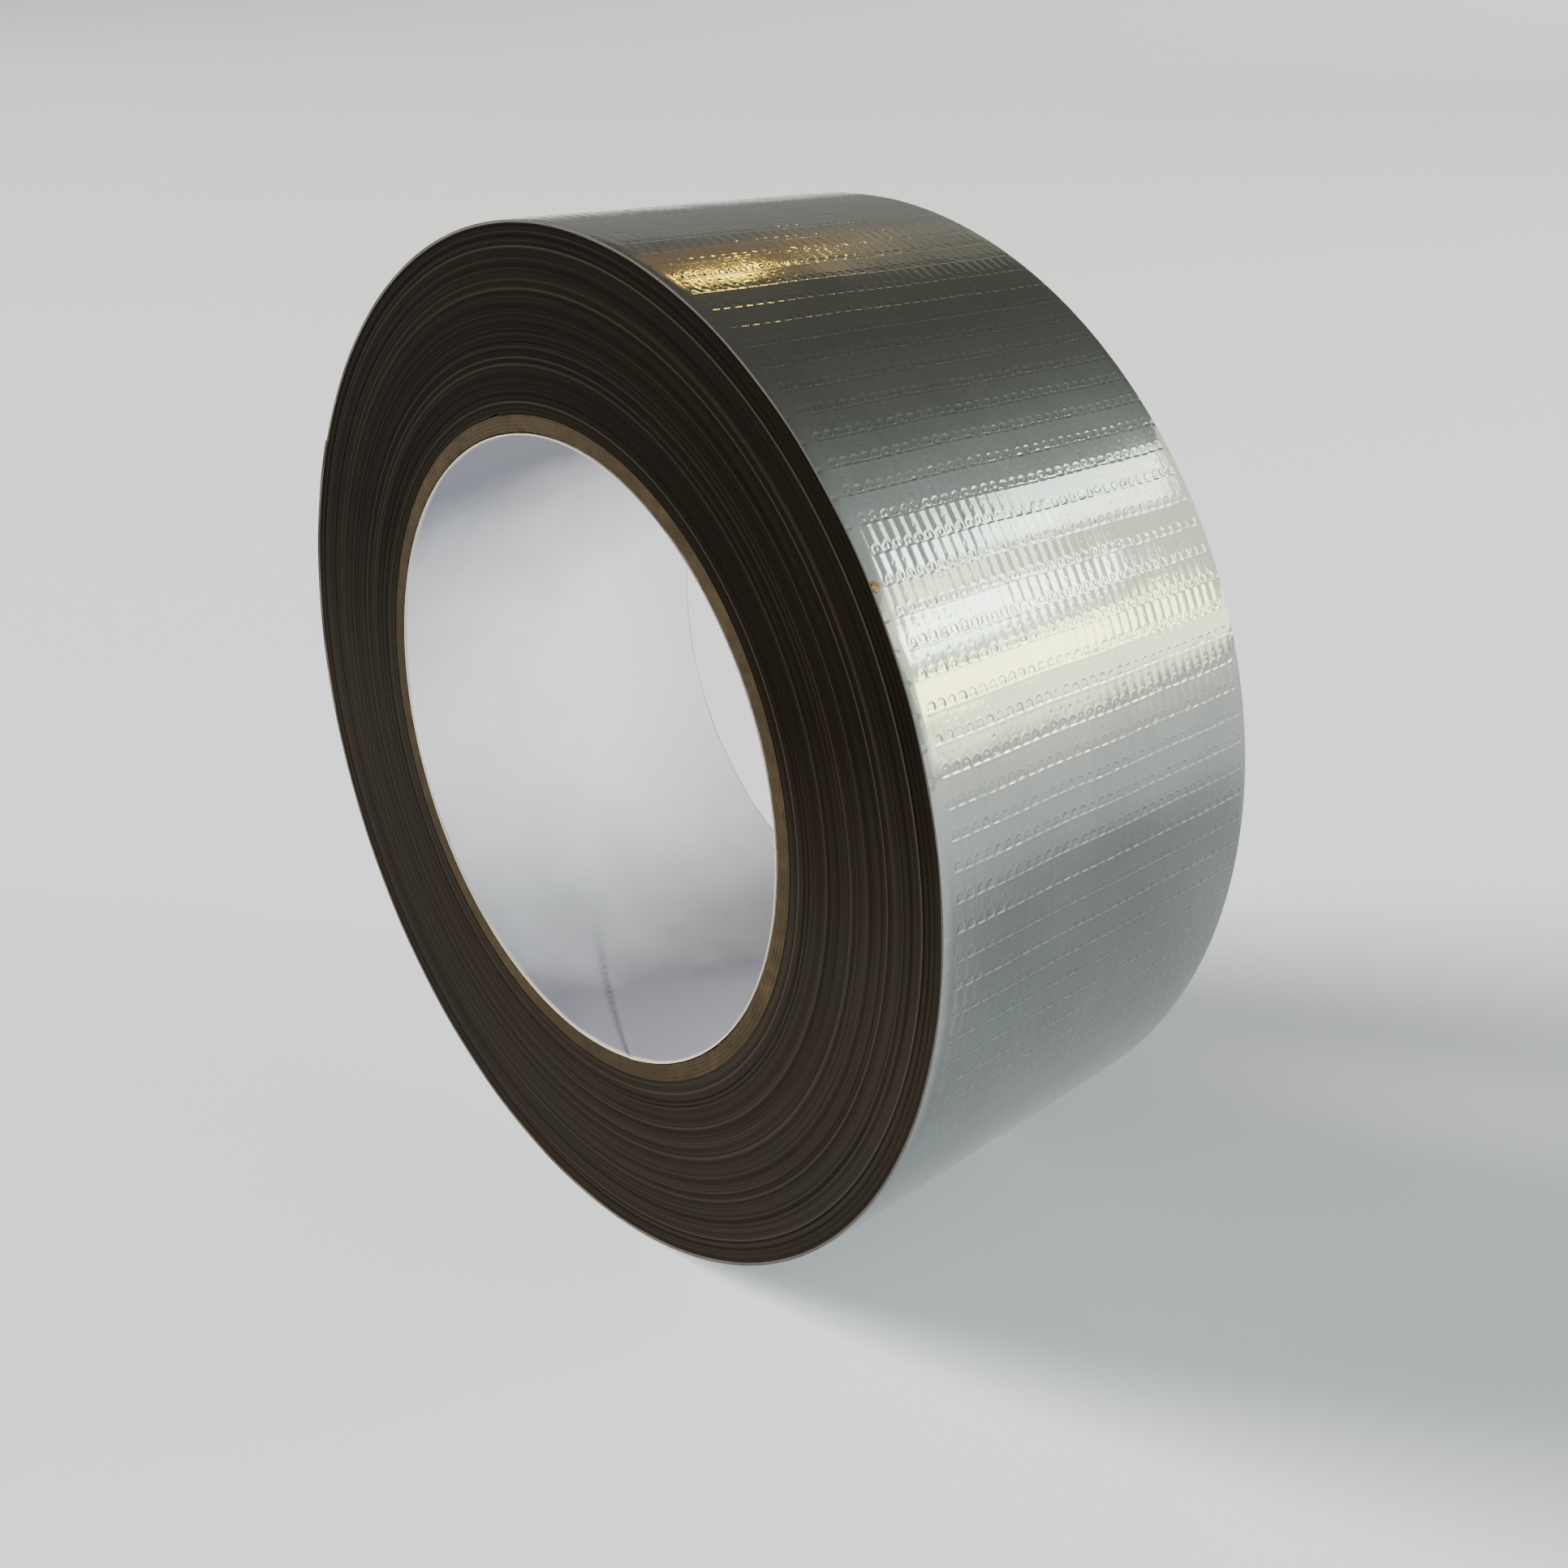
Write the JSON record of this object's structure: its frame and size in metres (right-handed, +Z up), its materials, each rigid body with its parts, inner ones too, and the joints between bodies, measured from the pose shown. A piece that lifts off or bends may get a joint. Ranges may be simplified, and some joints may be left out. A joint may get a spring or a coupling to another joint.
{
  "type": "duct tape roll",
  "caption": "Upright roll of silver cloth-backed tape on a paper core, with a free end that peels back.",
  "frame": {"origin": "centre of the bore, halfway across the tape's width", "axes": "+Y along the roll's axis, +Z up with the roll standing on its tread, +X across; seen from -Y the tape winds outwards clockwise"},
  "size_m": [0.1247, 0.048, 0.1245],
  "materials": {
    "silver_film": "silver polyethylene film, satin, embossed by the net below it",
    "cotton_scrim": "open knitted cotton and polyester net",
    "rubber_adhesive": "tacky rubber adhesive with the net showing through",
    "tape_edge": "cut edges of the wound turns, dark adhesive with fine rings",
    "kraft_board": "cut edge of brown kraft core board",
    "liner_paper": "smooth white paper with a slanted seam"
  },
  "bodies": {
    "roll": {"core_liner": "liner_paper", "core_ply_1": "kraft_board", "core_ply_2": "kraft_board", "core_ply_3": "kraft_board", "core_ply_4": "kraft_board", "core_ply_5": "kraft_board", "wound_tape": "tape_edge", "last_turn_film": "silver_film", "last_turn_scrim": "cotton_scrim", "last_turn_adhesive": "rubber_adhesive"},
    "tail_1": {"tail_1_film": "silver_film", "tail_1_scrim": "cotton_scrim", "tail_1_adhesive": "rubber_adhesive"},
    "tail_2": {"tail_2_film": "silver_film", "tail_2_scrim": "cotton_scrim", "tail_2_adhesive": "rubber_adhesive"},
    "tail_3": {"tail_3_film": "silver_film", "tail_3_scrim": "cotton_scrim", "tail_3_adhesive": "rubber_adhesive"},
    "tail_4": {"tail_4_film": "silver_film", "tail_4_scrim": "cotton_scrim", "tail_4_adhesive": "rubber_adhesive"},
    "tail_5": {"tail_5_film": "silver_film", "tail_5_scrim": "cotton_scrim", "tail_5_adhesive": "rubber_adhesive"},
    "tail_6": {"tail_6_film": "silver_film", "tail_6_scrim": "cotton_scrim", "tail_6_adhesive": "rubber_adhesive"}
  },
  "joints": [
    {"name": "peel_1", "type": "hinge", "parent": "roll", "child": "tail_1", "pos_m": [-0.0617, 0, -0.00977], "axis": [0, -1, 0], "range_deg": [0, 20]},
    {"name": "peel_2", "type": "hinge", "parent": "tail_1", "child": "tail_2", "pos_m": [-0.06239, 0, -0.00327], "axis": [0, -1, 0], "range_deg": [0, 20]},
    {"name": "peel_3", "type": "hinge", "parent": "tail_2", "child": "tail_3", "pos_m": [-0.06239, 0, 0.00327], "axis": [0, -1, 0], "range_deg": [0, 20]},
    {"name": "peel_4", "type": "hinge", "parent": "tail_3", "child": "tail_4", "pos_m": [-0.06171, 0, 0.00977], "axis": [0, -1, 0], "range_deg": [0, 20]},
    {"name": "peel_5", "type": "hinge", "parent": "tail_4", "child": "tail_5", "pos_m": [-0.06036, 0, 0.01617], "axis": [0, -1, 0], "range_deg": [0, 20]},
    {"name": "peel_6", "type": "hinge", "parent": "tail_5", "child": "tail_6", "pos_m": [-0.05834, 0, 0.0224], "axis": [0, -1, 0], "range_deg": [0, 20]}
  ],
  "couplings": [
    {"joint": "peel_2", "follows": "peel_1", "ratio": 1},
    {"joint": "peel_3", "follows": "peel_1", "ratio": 1},
    {"joint": "peel_4", "follows": "peel_1", "ratio": 1},
    {"joint": "peel_5", "follows": "peel_1", "ratio": 1},
    {"joint": "peel_6", "follows": "peel_1", "ratio": 1}
  ]
}
